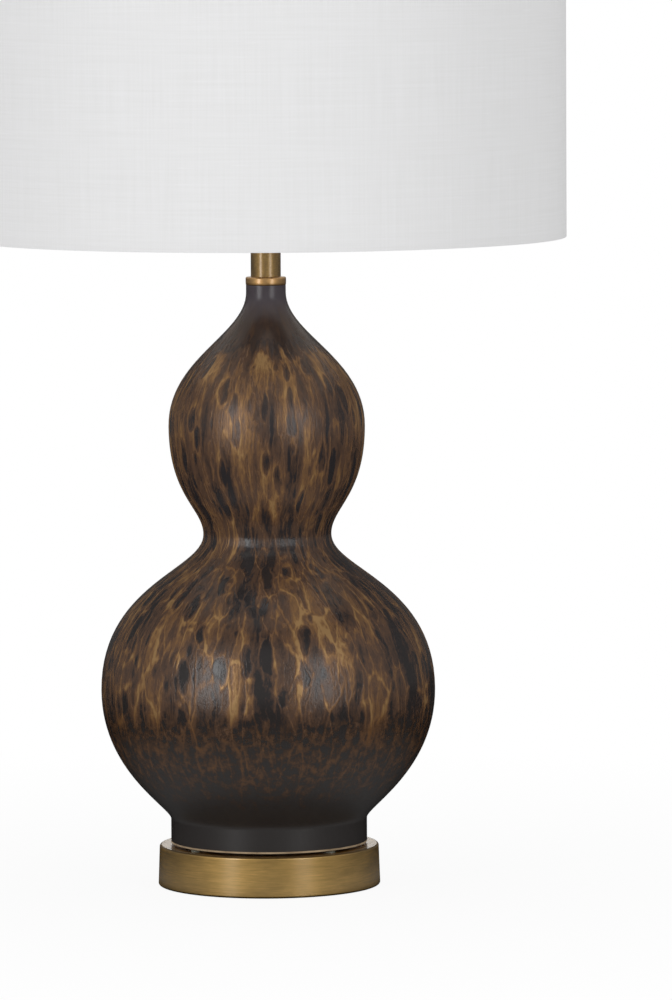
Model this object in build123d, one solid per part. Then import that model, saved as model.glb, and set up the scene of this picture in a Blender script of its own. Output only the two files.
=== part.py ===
from build123d import *
import os
from math import cos, radians, sin

# Double gourd table lamp: a glazed stoneware body clamped on a weighted brass base by a
# threaded lamp pipe, with a harp, a screw bulb and a linen drum shade.
# Millimetres, +Z up, front towards -Y, origin at the centre of the base's underside.

# ---------------------------------------------------------------- clearances
slip_gap = 0.3            # between curved faces that pass each other loosely
thread_gap = 0.1          # between a thread and its nut
running_gap = 0.05        # between a shaft and its bearing

# ---------------------------------------------------------------- base
pad_thickness = 2.0
pad_inset = 1.5           # pad edge inside the cover's edge
cover_thickness = 1.5
base_radius = 75.5        # at the hem
base_draft = 1.0          # how much the wall leans in
base_height = 28.0
base_hem_height = 0.5     # the hem clears the table by this much
base_hem_width = 3.0
base_wall = 1.5
base_lip_round = 1.4
weight_radius = 62.0
weight_pocket_radius = 26.0
weight_web = 11.0         # iron left above the pocket
cord_channel_width = 11.0
cord_channel_depth = 12.0

# cord inlet in the base's back wall
cord_radius = 3.25
inlet_height = 12.0
grommet_barrel_radius = 4.6
grommet_flange_radius = 6.5
grommet_lip_radius = 5.5
grommet_flange = 1.6

# ---------------------------------------------------------------- lamp pipe and its nuts
pipe_radius = 4.95
pipe_bore_radius = 3.3
pipe_stub = 1.8           # pipe showing below the lower nut
nut_across_flats = 14.3
nut_height = 4.0
lock_washer_radius = 9.0
lock_washer_thickness = 1.2
plate_washer_radius = 15.0
plate_washer_thickness = 1.5

# ---------------------------------------------------------------- foot pads
foot_pad_radius = 4.0
foot_pad_thickness = 1.6
foot_pad_circle = 63.6
foot_pad_count = 4
foot_pad_turn = -5.5      # degrees off the diagonals

# ---------------------------------------------------------------- gourd
# Radii and rises from foot to mouth. A pull is how far the wall keeps upright next to a
# belly, the waist or the neck before it swings over.
gourd_wall = 6.5
foot_radius = 66.6
foot_height = 20.0
foot_recess = 5.0
foot_pull = 1.5
lower_belly_rise = 84.0
lower_belly_radius = 113.3
lower_belly_pull_down = 51.5
lower_belly_pull_up = 72.0
waist_rise = 105.6
waist_radius = 43.4
waist_pull_down = 26.4
waist_pull_up = 18.0
upper_belly_rise = 73.8
upper_belly_radius = 66.5
upper_belly_pull_down = 48.0
upper_belly_pull_up = 46.0
neck_rise = 90.3
neck_radius = 13.45
neck_pull_down = 28.5
neck_height = 5.0
neck_lip_round = 0.8
foot_edge_round = 0.8
mouth_radius = 8.0
floor_hole_radius = 6.5

# ---------------------------------------------------------------- neck fittings
collar_radius = 13.7
collar_height = 5.5
collar_round = 1.1
collar_spigot_length = 5.0
collar_boss_height = 2.0
tube_radius = 10.15
tube_wall = 0.9
tube_length = 61.7
cap_thickness = 2.0
cap_overhang = 0.9
cap_boss_length = 3.0

# ---------------------------------------------------------------- harp saddle and harp
saddle_span = 57.0        # between the harp's legs
saddle_width = 12.0
saddle_thickness = 1.6
saddle_arm_thickness = 3.0
saddle_arm_height = 12.0
saddle_eye_radius = 11.0
saddle_bend = 3.2
saddle_nut_height = 3.0
saddle_pin_height = 9.5
wire_radius = 2.0
sleeve_radius = 3.7
sleeve_length = 14.0
sleeve_travel = 10.0
harp_height = 229.0       # from the saddle to the seat under the shade
harp_half_width = 56.0
harp_flare_start = 13.5   # where the leg turns out, above the raised sleeve
harp_flare_rise = 55.0
harp_flare_bend = 40.0
harp_shoulder_bend = 50.0
harp_boss_radius = 6.0
harp_boss_height = 6.0
stud_shank_radius = 2.0
stud_head_radius = 3.6
stud_head_height = 1.5
stud_seat_radius = 9.5
stud_seat_thickness = 1.5
stud_post_radius = 3.1
stud_post_height = 14.0

# ---------------------------------------------------------------- lampholder
hub_radius = 7.6
hub_height = 5.5
bowl_rise = 5.5
bowl_skirt = 6.0
sheet_metal = 0.5
shell_radius = 16.6
shell_height = 50.0
liner_thickness = 0.8
core_height = 22.0
core_clear = 8.0          # room for the wires under the core
core_flat = 22.0          # across the flats that carry the terminal screws
core_flat_height = 12.5
screw_shell_bore = 13.5
screw_shell_height = 20.5
contact_radius = 4.5
contact_height = 1.4
terminal_head_radius = 3.0
terminal_head_height = 2.0
terminal_shank_radius = 1.6
terminal_shank_length = 5.0
terminal_rise = 8.0       # terminal screws above the core's foot
set_screw_radius = 1.5
set_screw_head_radius = 2.4
set_screw_head_height = 1.3
spindle_radius = 2.0
spindle_depth = 9.0
spindle_rise = 15.0       # spindle above the core's foot
spindle_slot = 6.5
knob_radius = 5.6
knob_length = 15.0
knob_shell_gap = 2.6      # between the shell and the knob
knob_flute_count = 12
knob_flute_radius = 0.8
knob_edge_round = 0.9

# ---------------------------------------------------------------- bulb
eyelet_radius = 4.2
eyelet_height = 1.2
insulator_height = 3.0
bulb_cap_radius = 13.0
bulb_cap_height = 23.0
bulb_cap_wall = 0.4
bulb_neck_radius = 13.6
bulb_globe_radius = 30.0
bulb_glass_height = 100.0
bulb_glass_wall = 0.8
bulb_neck_pull = 18.0
bulb_globe_pull = 22.0

# ---------------------------------------------------------------- shade
shade_radius = 203.2
shade_height = 279.4
linen_thickness = 0.5
liner_sheet = 0.8
ring_wire_radius = 1.5
hem_return = 9.0          # linen turned in over the rings
spider_drop = 13.2        # from the shade's top edge to the washer's underside
spider_arm_count = 3
spider_first_arm = 90.0
spider_bend_radius = 6.0
spider_slope_start = 20.0
spider_slope_end = 44.0
washer_radius = 12.7
washer_thickness = 2.0
washer_hole_radius = 5.5
finial_foot_radius = 8.0
finial_foot_height = 2.6
finial_neck_radius = 4.6
finial_neck_height = 4.0
finial_ball_radius = 9.5
finial_bore_spare = 1.5   # bore deeper than the post

# ---------------------------------------------------------------- heights, from the table up
cover_bottom = pad_thickness
weight_bottom = cover_bottom + cover_thickness
base_deck_bottom = base_height - base_wall
pocket_top = base_deck_bottom - weight_web
lock_washer_top = pocket_top - plate_washer_thickness
rod_nut_top = lock_washer_top - lock_washer_thickness
rod_nut_bottom = rod_nut_top - nut_height
gourd_bottom = base_height + foot_pad_thickness
foot_top = gourd_bottom + foot_height
lower_belly = foot_top + lower_belly_rise
waist = lower_belly + waist_rise
upper_belly = waist + upper_belly_rise
neck_bottom = upper_belly + neck_rise
mouth = neck_bottom + neck_height
tube_bottom = mouth + collar_height
tube_top = tube_bottom + tube_length
saddle_bottom = tube_top + cap_thickness
saddle_top = saddle_bottom + saddle_thickness
socket_bottom = saddle_top + saddle_nut_height
bowl_floor = socket_bottom + hub_height + bowl_rise
core_bottom = bowl_floor + core_clear
core_top = core_bottom + core_height
bulb_bottom = core_top + contact_height
arm_top = saddle_bottom + saddle_arm_height
harp_foot = arm_top + saddle_pin_height
seat_top = saddle_bottom + harp_height
seat_bottom = seat_top - stud_seat_thickness
harp_top = seat_bottom - running_gap
washer_top = seat_top + washer_thickness
shade_top = seat_top + spider_drop
shade_bottom = shade_top - shade_height

UPRIGHT = (Align.CENTER, Align.CENTER, Align.MIN)


def round_bar(radius, bottom, top):
    """A plain round bar or disc about the lamp's axis."""
    return Pos(0, 0, bottom) * Cylinder(radius, top - bottom, align=UPRIGHT)


def tube(outer_radius, inner_radius, bottom, top):
    """A straight tube, ring or washer about the lamp's axis."""
    return round_bar(outer_radius, bottom, top) - round_bar(inner_radius, bottom, top)


def turned(*corners):
    """A turned or spun piece: each corner is its radius, its height and its rounding."""
    points = [(radius, 0, height) for radius, height, rounding in corners]
    roundings = [rounding for radius, height, rounding in corners]
    outline = FilletPolyline(*points, radius=roundings, close=True)
    return revolve(make_face(outline), Axis.Z)


def wall_curve(radius, height, pull, next_radius, next_height, next_pull):
    """One S-shaped stretch of a turned wall that stands upright at both ends."""
    return Bezier(
        (radius, 0, height),
        (radius, 0, height + pull),
        (next_radius, 0, next_height - next_pull),
        (next_radius, 0, next_height),
    )


def dome_arc(radius, middle):
    """Quarter circle from a globe's widest place up to its top."""
    slant = radius * cos(radians(45))
    return ThreePointArc((radius, 0, middle), (slant, 0, middle + slant), (0, 0, middle + radius))


def round_rims(solid, size, *rims):
    """Rounds the circular edges found by their radius and height."""
    edges = solid.edges().filter_by(GeomType.CIRCLE)
    for rim_radius, rim_height in rims:
        rim = edges.filter_by(
            lambda edge: abs(edge.radius - rim_radius) < 0.001
            and abs(edge.arc_center.Z - rim_height) < 0.001
        )
        solid = fillet(rim, size)
        edges = solid.edges().filter_by(GeomType.CIRCLE)
    return solid


def hex_nut(bottom, height):
    """A hexagon nut on the lamp pipe."""
    nut = extrude(RegularPolygon(nut_across_flats / 2, 6, major_radius=False), height)
    return Pos(0, 0, bottom) * nut - round_bar(pipe_radius + thread_gap, bottom, bottom + height)


# ---------------------------------------------------------------- base pieces

def base_wall_radius(height):
    """Outer radius of the leaning base wall at a height."""
    lean = (height - base_hem_height) / (base_height - base_hem_height)
    return base_radius - base_draft * lean


def base_shell():
    """Spun brass cup, open below, with a thick rolled hem, a pipe hole and a cord hole."""
    top_radius = base_radius - base_draft
    hem_top = base_hem_height + base_hem_width
    hem_inner = base_radius - base_hem_width
    hole_radius = pipe_radius + slip_gap
    cup = turned(
        (hole_radius, base_height, 0),
        (top_radius, base_height, base_lip_round),
        (base_radius, base_hem_height, base_lip_round),
        (hem_inner, base_hem_height, base_lip_round),
        (hem_inner, hem_top, 0),
        (base_wall_radius(hem_top) - base_wall, hem_top, 0),
        (top_radius - base_wall, base_deck_bottom, 0),
        (hole_radius, base_deck_bottom, 0),
    )
    cord_hole = Pos(0, base_radius, inlet_height) * Rot(90, 0, 0) * Cylinder(
        grommet_barrel_radius + running_gap, 4 * base_wall
    )
    return cup - cord_hole


def cord_grommet():
    """Flanged bushing that lines the cord hole in the back wall."""
    flange_face = base_wall_radius(inlet_height - grommet_flange_radius)
    lip_face = base_wall_radius(inlet_height) - base_wall - slip_gap - running_gap
    profile = FilletPolyline(
        (cord_radius, 0, lip_face - grommet_flange),
        (grommet_lip_radius, 0, lip_face - grommet_flange),
        (grommet_lip_radius, 0, lip_face),
        (grommet_barrel_radius, 0, lip_face),
        (grommet_barrel_radius, 0, flange_face),
        (grommet_flange_radius, 0, flange_face),
        (grommet_flange_radius, 0, flange_face + grommet_flange),
        (cord_radius, 0, flange_face + grommet_flange),
        radius=[0, 0, 0, 0, 0, 0, grommet_flange / 2, 0],
        close=True,
    )
    bushing = revolve(make_face(profile), Axis.Z)
    return Pos(0, 0, inlet_height) * Rot(-90, 0, 0) * bushing


def base_weight():
    """Iron casting under the deck, with a pocket for the nut and a channel for the cord."""
    casting = turned(
        (pipe_radius + slip_gap, base_deck_bottom, 0),
        (weight_radius, base_deck_bottom, 2 * base_lip_round),
        (weight_radius, weight_bottom, base_lip_round),
        (weight_pocket_radius, weight_bottom, 0),
        (weight_pocket_radius, pocket_top, 2 * base_lip_round),
        (pipe_radius + slip_gap, pocket_top, 0),
    )
    channel = Pos(0, 0, weight_bottom) * Box(
        cord_channel_width,
        weight_radius + base_wall,
        cord_channel_depth,
        align=(Align.CENTER, Align.MIN, Align.MIN),
    )
    return casting - channel


def base_cover():
    """Fibreboard disc that closes the base and carries the pad."""
    return round_bar(base_radius - base_hem_width - slip_gap, cover_bottom, weight_bottom)


def base_pad():
    """Foam pad that the lamp stands on."""
    return round_bar(base_radius - base_hem_width - slip_gap - pad_inset, 0, pad_thickness)


# ---------------------------------------------------------------- pipe and nuts

def threaded_pipe():
    """Lamp pipe from below the lower nut up into the lampholder's hub."""
    return tube(pipe_radius, pipe_bore_radius, rod_nut_bottom - pipe_stub, socket_bottom + hub_height)


def lock_washer():
    """Star washer under the lower nut, drawn as a plain ring."""
    return tube(lock_washer_radius, pipe_radius + thread_gap, rod_nut_top, lock_washer_top)


def plate_washer():
    """Wide washer that spreads the clamp load on the iron."""
    return tube(plate_washer_radius, pipe_radius + thread_gap, lock_washer_top, pocket_top)


# ---------------------------------------------------------------- gourd

def foot_pads():
    """Clear pads that keep the unglazed foot off the brass."""
    pads = []
    for place in range(foot_pad_count):
        angle = radians(360 / foot_pad_count * (place + 0.5) + foot_pad_turn)
        pad = round_bar(foot_pad_radius, base_height, gourd_bottom)
        pads.append(Pos(foot_pad_circle * cos(angle), foot_pad_circle * sin(angle), 0) * pad)
    return Compound(children=pads)


def gourd_body():
    """Hollow slip-cast shell: foot ring, lower belly, waist, upper belly, neck and mouth."""
    outside = [
        Line((foot_radius, 0, gourd_bottom), (foot_radius, 0, foot_top)),
        wall_curve(foot_radius, foot_top, foot_pull,
                   lower_belly_radius, lower_belly, lower_belly_pull_down),
        wall_curve(lower_belly_radius, lower_belly, lower_belly_pull_up,
                   waist_radius, waist, waist_pull_down),
        wall_curve(waist_radius, waist, waist_pull_up,
                   upper_belly_radius, upper_belly, upper_belly_pull_down),
        wall_curve(upper_belly_radius, upper_belly, upper_belly_pull_up,
                   neck_radius, neck_bottom, neck_pull_down),
        Line((neck_radius, 0, neck_bottom), (neck_radius, 0, mouth)),
    ]
    inner_foot = foot_radius - gourd_wall
    floor_bottom = gourd_bottom + foot_recess
    floor_top = floor_bottom + gourd_wall
    shoulder = foot_top + gourd_wall
    inside = [
        Line((mouth_radius, 0, mouth), (mouth_radius, 0, neck_bottom)),
        wall_curve(mouth_radius, neck_bottom, -neck_pull_down,
                   upper_belly_radius - gourd_wall, upper_belly, -upper_belly_pull_up),
        wall_curve(upper_belly_radius - gourd_wall, upper_belly, -upper_belly_pull_down,
                   waist_radius - gourd_wall, waist, -waist_pull_up),
        wall_curve(waist_radius - gourd_wall, waist, -waist_pull_down,
                   lower_belly_radius - gourd_wall, lower_belly, -lower_belly_pull_up),
        wall_curve(lower_belly_radius - gourd_wall, lower_belly, -lower_belly_pull_down,
                   inner_foot, shoulder, -foot_pull),
        Line((inner_foot, 0, shoulder), (inner_foot, 0, floor_top)),
        Line((inner_foot, 0, floor_top), (floor_hole_radius, 0, floor_top)),
    ]
    rim = [
        Line((neck_radius, 0, mouth), (mouth_radius, 0, mouth)),
        Line((floor_hole_radius, 0, floor_top), (floor_hole_radius, 0, floor_bottom)),
        Line((floor_hole_radius, 0, floor_bottom), (inner_foot, 0, floor_bottom)),
        Line((inner_foot, 0, floor_bottom), (inner_foot, 0, gourd_bottom)),
        Line((inner_foot, 0, gourd_bottom), (foot_radius, 0, gourd_bottom)),
    ]
    shell = revolve(make_face(outside + inside + rim), Axis.Z)
    shell = round_rims(shell, neck_lip_round, (neck_radius, mouth), (mouth_radius, mouth))
    return round_rims(shell, foot_edge_round, (foot_radius, gourd_bottom), (inner_foot, gourd_bottom))


# ---------------------------------------------------------------- neck

def neck_collar():
    """Turned brass ring on the mouth: a spigot centres it below, a boss holds the tube above."""
    bore = pipe_radius + thread_gap
    spigot = mouth_radius - slip_gap
    boss = tube_radius - tube_wall - slip_gap
    return turned(
        (bore, mouth - collar_spigot_length, 0),
        (spigot, mouth - collar_spigot_length, 0),
        (spigot, mouth, 0),
        (collar_radius, mouth, collar_round / 2),
        (collar_radius, tube_bottom, collar_round),
        (boss, tube_bottom, 0),
        (boss, tube_bottom + collar_boss_height, 0),
        (bore, tube_bottom + collar_boss_height, 0),
    )


def neck_tube():
    """Brass tube that covers the pipe between the collar and the harp saddle."""
    return tube(tube_radius, tube_radius - tube_wall, tube_bottom, tube_top)


def tube_cap():
    """Turned cap that centres the tube's upper end and carries the saddle."""
    bore = pipe_radius + thread_gap
    boss = tube_radius - tube_wall - slip_gap
    return turned(
        (bore, tube_top - cap_boss_length, 0),
        (boss, tube_top - cap_boss_length, 0),
        (boss, tube_top, 0),
        (tube_radius + cap_overhang, tube_top, 0),
        (tube_radius + cap_overhang, saddle_bottom, cap_thickness / 3),
        (bore, saddle_bottom, 0),
    )


# ---------------------------------------------------------------- harp

def harp_saddle():
    """Steel strip bent up at both ends, with an eye for the pipe and a pin for each harp leg."""
    leg = saddle_span / 2
    outer = leg + saddle_arm_thickness / 2
    inner = leg - saddle_arm_thickness / 2
    section = FilletPolyline(
        (0, -outer, arm_top),
        (0, -outer, saddle_bottom),
        (0, outer, saddle_bottom),
        (0, outer, arm_top),
        (0, inner, arm_top),
        (0, inner, saddle_top),
        (0, -inner, saddle_top),
        (0, -inner, arm_top),
        radius=[0, saddle_bend, saddle_bend, 0, 0, saddle_bend / 2, saddle_bend / 2, 0],
        close=True,
    )
    strip = extrude(make_face(section), saddle_width / 2, dir=(1, 0, 0), both=True)
    strip += round_bar(saddle_eye_radius, saddle_bottom, saddle_top)
    for side in (-1, 1):
        strip += Pos(0, side * leg, 0) * round_bar(wire_radius, arm_top, harp_foot)
    return strip - round_bar(pipe_radius + thread_gap, saddle_bottom, saddle_top)


def harp():
    """One bent wire: two legs, a flare round the bulb and a flat top with its swivel boss."""
    leg = saddle_span / 2
    flare_low = arm_top + sleeve_length + sleeve_travel + harp_flare_start
    flare_high = flare_low + harp_flare_rise
    boss_bottom = harp_top - harp_boss_height
    wire_top = harp_top - harp_boss_height / 2
    route = FilletPolyline(
        (0, -leg, harp_foot),
        (0, -leg, flare_low),
        (0, -harp_half_width, flare_high),
        (0, -harp_half_width, wire_top),
        (0, harp_half_width, wire_top),
        (0, harp_half_width, flare_high),
        (0, leg, flare_low),
        (0, leg, harp_foot),
        radius=[
            harp_flare_bend,
            harp_flare_bend,
            harp_shoulder_bend,
            harp_shoulder_bend,
            harp_flare_bend,
            harp_flare_bend,
        ],
    )
    section = Plane((0, -leg, harp_foot), z_dir=(0, 0, 1)) * Circle(wire_radius)
    wire = sweep(section, path=route)
    wire += round_bar(harp_boss_radius, boss_bottom, harp_top)
    return wire - round_bar(stud_shank_radius + running_gap, boss_bottom, harp_top)


def harp_sleeve(side):
    """Thimble that slides down over the joint between a harp leg and its saddle pin."""
    sleeve = tube(sleeve_radius, wire_radius + slip_gap, arm_top, arm_top + sleeve_length)
    return Pos(0, side * saddle_span / 2, 0) * sleeve


def harp_stud():
    """Swivel stud: riveted shank through the harp's boss, seat disc and threaded post."""
    boss_bottom = harp_top - harp_boss_height
    head_top = boss_bottom - running_gap
    head_bottom = head_top - stud_head_height
    return turned(
        (0, head_bottom, 0),
        (stud_head_radius, head_bottom, stud_head_height / 2),
        (stud_head_radius, head_top, 0),
        (stud_shank_radius, head_top, 0),
        (stud_shank_radius, seat_bottom, 0),
        (stud_seat_radius, seat_bottom, 0),
        (stud_seat_radius, seat_top, stud_seat_thickness / 3),
        (stud_post_radius, seat_top, 0),
        (stud_post_radius, seat_top + stud_post_height, stud_post_radius / 4),
        (0, seat_top + stud_post_height, 0),
    )


# ---------------------------------------------------------------- lampholder

def socket_cap():
    """Drawn brass bowl: a hub on the pipe, a flared floor and a skirt round the shell."""
    bore = pipe_radius + thread_gap
    skirt_inner = shell_radius + running_gap
    skirt_outer = skirt_inner + sheet_metal
    hub_top = socket_bottom + hub_height
    skirt_top = bowl_floor + bowl_skirt
    bowl = turned(
        (bore, socket_bottom, 0),
        (hub_radius, socket_bottom, 0),
        (hub_radius, hub_top, sheet_metal),
        (skirt_outer, bowl_floor - sheet_metal, bowl_rise / 2),
        (skirt_outer, skirt_top, 0),
        (skirt_inner, skirt_top, 0),
        (skirt_inner, bowl_floor, 0),
        (shell_radius - 2 * sheet_metal, bowl_floor, 0),
        (hub_radius, hub_top + sheet_metal, 0),
        (bore, hub_top + sheet_metal, 0),
    )
    screw_hole = Pos(-hub_radius, 0, socket_bottom + hub_height / 2) * Rot(0, 90, 0) * Cylinder(
        set_screw_radius + running_gap, hub_radius
    )
    return bowl - screw_hole


def cap_set_screw():
    """Screw through the hub that stops the lampholder turning on the pipe."""
    tip = pipe_radius + thread_gap
    shank = Cylinder(set_screw_radius, hub_radius + running_gap - tip, align=UPRIGHT)
    head = Cylinder(set_screw_head_radius, set_screw_head_height, align=UPRIGHT)
    screw = shank + Pos(0, 0, hub_radius + running_gap - tip) * head
    return Pos(-tip, 0, socket_bottom + hub_height / 2) * Rot(0, -90, 0) * screw


def spindle_slot_cut(outer_radius):
    """Cutter for the slot that the spindle drops into."""
    height = core_bottom + spindle_rise
    slot = Pos(0, 0, bowl_floor - sheet_metal) * Box(
        outer_radius + sheet_metal,
        spindle_slot,
        height - bowl_floor + sheet_metal,
        align=(Align.MIN, Align.CENTER, Align.MIN),
    )
    end = Pos(0, 0, height) * Rot(0, 90, 0) * Cylinder(
        spindle_slot / 2, outer_radius + sheet_metal, align=UPRIGHT
    )
    return slot + end


def socket_shell():
    """Thin brass shell of the lampholder, with a slot for the spindle."""
    top = bowl_floor + shell_height
    shell = turned(
        (shell_radius - sheet_metal, bowl_floor, 0),
        (shell_radius, bowl_floor, 0),
        (shell_radius, top, sheet_metal),
        (screw_shell_bore + 3 * sheet_metal, top, 0),
        (screw_shell_bore + 3 * sheet_metal, top - sheet_metal, 0),
        (shell_radius - sheet_metal, top - sheet_metal, 0),
    )
    return shell - spindle_slot_cut(shell_radius)


def socket_liner():
    """Fibre sleeve that insulates the core from the shell."""
    outer = shell_radius - sheet_metal - running_gap
    sleeve = tube(outer, outer - liner_thickness, bowl_floor, bowl_floor + shell_height - 2 * sheet_metal)
    return sleeve - spindle_slot_cut(outer)


def core_radius():
    """The core fills the liner with a little play."""
    return shell_radius - sheet_metal - liner_thickness - slip_gap


def socket_core():
    """Moulded switch body with flats for the terminal screws and a bore for the spindle."""
    core = round_bar(core_radius(), core_bottom, core_top)
    flats = Pos(0, 0, core_bottom) * Box(
        2 * core_radius(), core_flat, core_flat_height, align=(Align.CENTER, Align.CENTER, Align.MIN)
    )
    body = (core & flats) + round_bar(core_radius(), core_bottom + core_flat_height, core_top)
    bore = Pos(core_radius() - spindle_depth, 0, core_bottom + spindle_rise) * Rot(0, 90, 0) * Cylinder(
        spindle_radius + running_gap, spindle_depth, align=UPRIGHT
    )
    for side in (-1, 1):
        hole = Cylinder(terminal_shank_radius, terminal_shank_length, align=UPRIGHT)
        face = core_flat / 2 - terminal_shank_length
        body -= Pos(0, side * face, core_bottom + terminal_rise) * Rot(-90 * side, 0, 0) * hole
    return body - bore


def terminal_screws():
    """Two binding screws, one on each flat of the core."""
    screws = []
    for side in (-1, 1):
        shank = Cylinder(terminal_shank_radius - running_gap, terminal_shank_length, align=UPRIGHT)
        head = Pos(0, 0, terminal_shank_length) * Cylinder(
            terminal_head_radius, terminal_head_height, align=UPRIGHT
        )
        face = core_flat / 2 - terminal_shank_length
        screws.append(
            Pos(0, side * face, core_bottom + terminal_rise) * Rot(-90 * side, 0, 0) * (shank + head)
        )
    return Compound(children=screws)


def screw_shell():
    """Screw shell that takes the bulb's cap, with its flange on the core."""
    outer = screw_shell_bore + sheet_metal
    return turned(
        (contact_radius + 2 * sheet_metal, core_top, 0),
        (outer, core_top, 0),
        (outer, core_top + screw_shell_height, 0),
        (screw_shell_bore, core_top + screw_shell_height, 0),
        (screw_shell_bore, core_top + sheet_metal, 0),
        (contact_radius + 2 * sheet_metal, core_top + sheet_metal, 0),
    )


def centre_contact():
    """Domed contact tab in the middle of the core."""
    return turned(
        (0, core_top, 0),
        (contact_radius, core_top, 0),
        (contact_radius - sheet_metal, bulb_bottom, 0),
        (0, bulb_bottom, 0),
    )


def switch_spindle():
    """Brass spindle from the core out to the turn knob."""
    inner = core_radius() - spindle_depth + slip_gap
    outer = shell_radius + knob_shell_gap + knob_length / 2
    bar = Cylinder(spindle_radius, outer - inner, align=UPRIGHT)
    return Pos(inner, 0, core_bottom + spindle_rise) * Rot(0, 90, 0) * bar


def switch_knob():
    """Fluted turn knob pressed on the spindle."""
    body = Cylinder(knob_radius, knob_length, align=UPRIGHT)
    body = fillet(body.edges().filter_by(GeomType.CIRCLE).sort_by(Axis.Z)[-1], knob_edge_round)
    for place in range(knob_flute_count):
        angle = 360 / knob_flute_count * place
        flute = Pos(knob_radius, 0, 0) * Cylinder(knob_flute_radius, knob_length, align=UPRIGHT)
        body -= Rot(0, 0, angle) * flute
    body -= Cylinder(spindle_radius, knob_length / 2, align=UPRIGHT)
    start = shell_radius + knob_shell_gap
    return Pos(start, 0, core_bottom + spindle_rise) * Rot(0, 90, 0) * body


# ---------------------------------------------------------------- bulb

def bulb_eyelet():
    """Solder contact at the foot of the bulb."""
    return round_bar(eyelet_radius, bulb_bottom, bulb_bottom + eyelet_height)


def bulb_insulator():
    """Black glass cone between the eyelet and the screw cap."""
    low = bulb_bottom + eyelet_height
    return turned(
        (0, low, 0),
        (eyelet_radius + sheet_metal, low, 0),
        (bulb_cap_radius - 3 * sheet_metal, low + insulator_height, 0),
        (0, low + insulator_height, 0),
    )


def bulb_cap():
    """Screw cap of the bulb, threads left smooth."""
    low = bulb_bottom + eyelet_height + insulator_height
    return turned(
        (0, low, 0),
        (bulb_cap_radius - 3 * sheet_metal, low, 0),
        (bulb_cap_radius, low + 3 * sheet_metal, 0),
        (bulb_cap_radius, low + bulb_cap_height, 0),
        (bulb_cap_radius - bulb_cap_wall, low + bulb_cap_height, 0),
        (bulb_cap_radius - bulb_cap_wall, low + insulator_height, 0),
        (0, low + insulator_height, 0),
    )


def bulb_glass():
    """Frosted pear-shaped glass, cemented into the cap."""
    low = bulb_bottom + eyelet_height + 2 * insulator_height
    rim = bulb_bottom + eyelet_height + insulator_height + bulb_cap_height
    stem = bulb_cap_radius - bulb_cap_wall - running_gap
    top = low + bulb_glass_height
    middle = top - bulb_globe_radius
    wall = bulb_glass_wall
    inner_top = middle + bulb_globe_radius - wall
    outline = [
        Line((0, 0, low), (stem, 0, low)),
        Line((stem, 0, low), (stem, 0, rim)),
        Line((stem, 0, rim), (bulb_neck_radius, 0, rim)),
        wall_curve(bulb_neck_radius, rim, bulb_neck_pull, bulb_globe_radius, middle, bulb_globe_pull),
        dome_arc(bulb_globe_radius, middle),
        Line((0, 0, top), (0, 0, inner_top)),
        dome_arc(bulb_globe_radius - wall, middle),
        wall_curve(bulb_neck_radius - wall, rim, bulb_neck_pull,
                   bulb_globe_radius - wall, middle, bulb_globe_pull),
        Line((bulb_neck_radius - wall, 0, rim), (stem - wall, 0, low + wall)),
        Line((stem - wall, 0, low + wall), (0, 0, low + wall)),
        Line((0, 0, low + wall), (0, 0, low)),
    ]
    return revolve(make_face(outline), Axis.Z)


# ---------------------------------------------------------------- shade

def arm_angles():
    """Headings of the spider's arms, in degrees from +X."""
    return [spider_first_arm + 360 / spider_arm_count * place for place in range(spider_arm_count)]


def shade_linen():
    """Linen skin of the drum, turned in over the wire rings at both edges."""
    liner_radius = shade_radius - linen_thickness
    ring_inner = liner_radius - liner_sheet - 2 * ring_wire_radius
    low = shade_bottom + linen_thickness
    high = shade_top - linen_thickness
    skin = turned(
        (shade_radius, shade_bottom, linen_thickness / 2),
        (shade_radius, shade_top, linen_thickness / 2),
        (ring_inner - linen_thickness, shade_top, linen_thickness / 2),
        (ring_inner - linen_thickness, shade_top - hem_return, 0),
        (ring_inner, shade_top - hem_return, 0),
        (ring_inner, high, 0),
        (liner_radius, high, 0),
        (liner_radius, low, 0),
        (ring_inner, low, 0),
        (ring_inner, shade_bottom + hem_return, 0),
        (ring_inner - linen_thickness, shade_bottom + hem_return, 0),
        (ring_inner - linen_thickness, shade_bottom, linen_thickness / 2),
    )
    for angle in arm_angles():
        arm_slot = Pos(ring_inner - 2 * linen_thickness, 0, high - ring_wire_radius) * Rot(0, 90, 0) * (
            Cylinder(ring_wire_radius + running_gap, 2 * ring_wire_radius, align=UPRIGHT)
        )
        skin -= Rot(0, 0, angle) * arm_slot
    return skin


def shade_liner():
    """Stiff white sheet that the linen is laminated to."""
    outer = shade_radius - linen_thickness
    return tube(outer, outer - liner_sheet, shade_bottom + linen_thickness, shade_top - linen_thickness)


def ring_radius():
    """Centre radius of the wire rings inside the liner."""
    return shade_radius - linen_thickness - liner_sheet - ring_wire_radius


def wire_ring(height):
    """Round wire hoop that holds an edge of the shade in shape."""
    return Pos(0, 0, height) * Torus(ring_radius(), ring_wire_radius)


def shade_top_ring():
    """Upper hoop, just under the turned-in linen."""
    return wire_ring(shade_top - linen_thickness - ring_wire_radius)


def shade_bottom_ring():
    """Lower hoop."""
    return wire_ring(shade_bottom + linen_thickness + ring_wire_radius)


def spider_washer():
    """Washer in the middle of the spider, on the harp's seat."""
    return tube(washer_radius, washer_hole_radius, seat_top, washer_top)


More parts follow.
